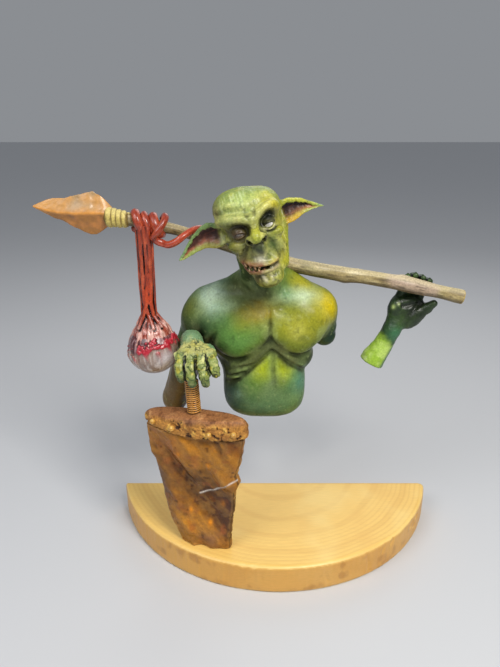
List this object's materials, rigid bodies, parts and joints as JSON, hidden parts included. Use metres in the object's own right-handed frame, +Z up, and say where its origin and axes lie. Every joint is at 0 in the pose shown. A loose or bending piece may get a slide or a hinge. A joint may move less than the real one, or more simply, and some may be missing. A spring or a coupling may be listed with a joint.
{
  "type": "goblin figurine",
  "caption": "Painted goblin bust leaning on a broken sword that stands on a half-round wooden base, with a spear across its shoulders and a trophy eyeball hung from it; a shelf ornament.",
  "frame": {"origin": "middle of the base's underside, halfway between its sawn chord and the front of its arc", "axes": "+Z up; the goblin faces -Y; +X is the viewer's right, along the base's chord"},
  "size_m": [0.2302, 0.0816, 0.2182],
  "materials": {
    "green_skin": "airbrushed green over yellow, dark wash in the folds, satin varnish",
    "pale_wood": "oiled honey-coloured wood",
    "rusted_iron": "painted rust, mottled brown and orange, varnished",
    "crusted_guard": "pitted orange-brown crust",
    "brass_wire": "aged, with brown wash between the turns",
    "weathered_stick": "stripped bark, khaki streaks",
    "flint": "knapped facets, orange-tan",
    "rawhide_lashing": "pale dried hide",
    "red_tendon": "wet red-brown",
    "veined_eyeball": "wet grey-pink with red gore",
    "pale_eye": "glossy grey-white",
    "yellowed_tooth": "glossy ivory",
    "pin_steel": "bare"
  },
  "bodies": {
    "root": {"base_slice": "pale_wood", "support_rod": "pin_steel", "broken_blade": "rusted_iron", "cross_guard": "crusted_guard", "guard_rivet_1": "brass_wire", "guard_rivet_2": "brass_wire", "guard_rivet_3": "brass_wire", "guard_rivet_4": "brass_wire", "grip_core": "pale_wood", "grip_wire": "brass_wire", "right_hand": "green_skin", "right_arm": "green_skin", "torso": "green_skin", "head": "green_skin", "right_ear": "green_skin", "left_ear": "green_skin", "right_eye": "pale_eye", "left_eye": "pale_eye", "upper_teeth": "yellowed_tooth", "lower_teeth": "yellowed_tooth", "spear_shaft": "weathered_stick", "spearhead": "flint", "rawhide_lashing": "rawhide_lashing", "tendon_wrap": "red_tendon", "tendon_tail": "red_tendon", "tendon_bundle": "red_tendon", "trophy_eyeball": "veined_eyeball", "left_hand": "green_skin", "neck_pin": "pin_steel", "shoulder_pin": "pin_steel", "wrist_pin": "pin_steel", "spear_pin": "pin_steel", "left_hand_pin": "pin_steel"}
  },
  "joints": []
}
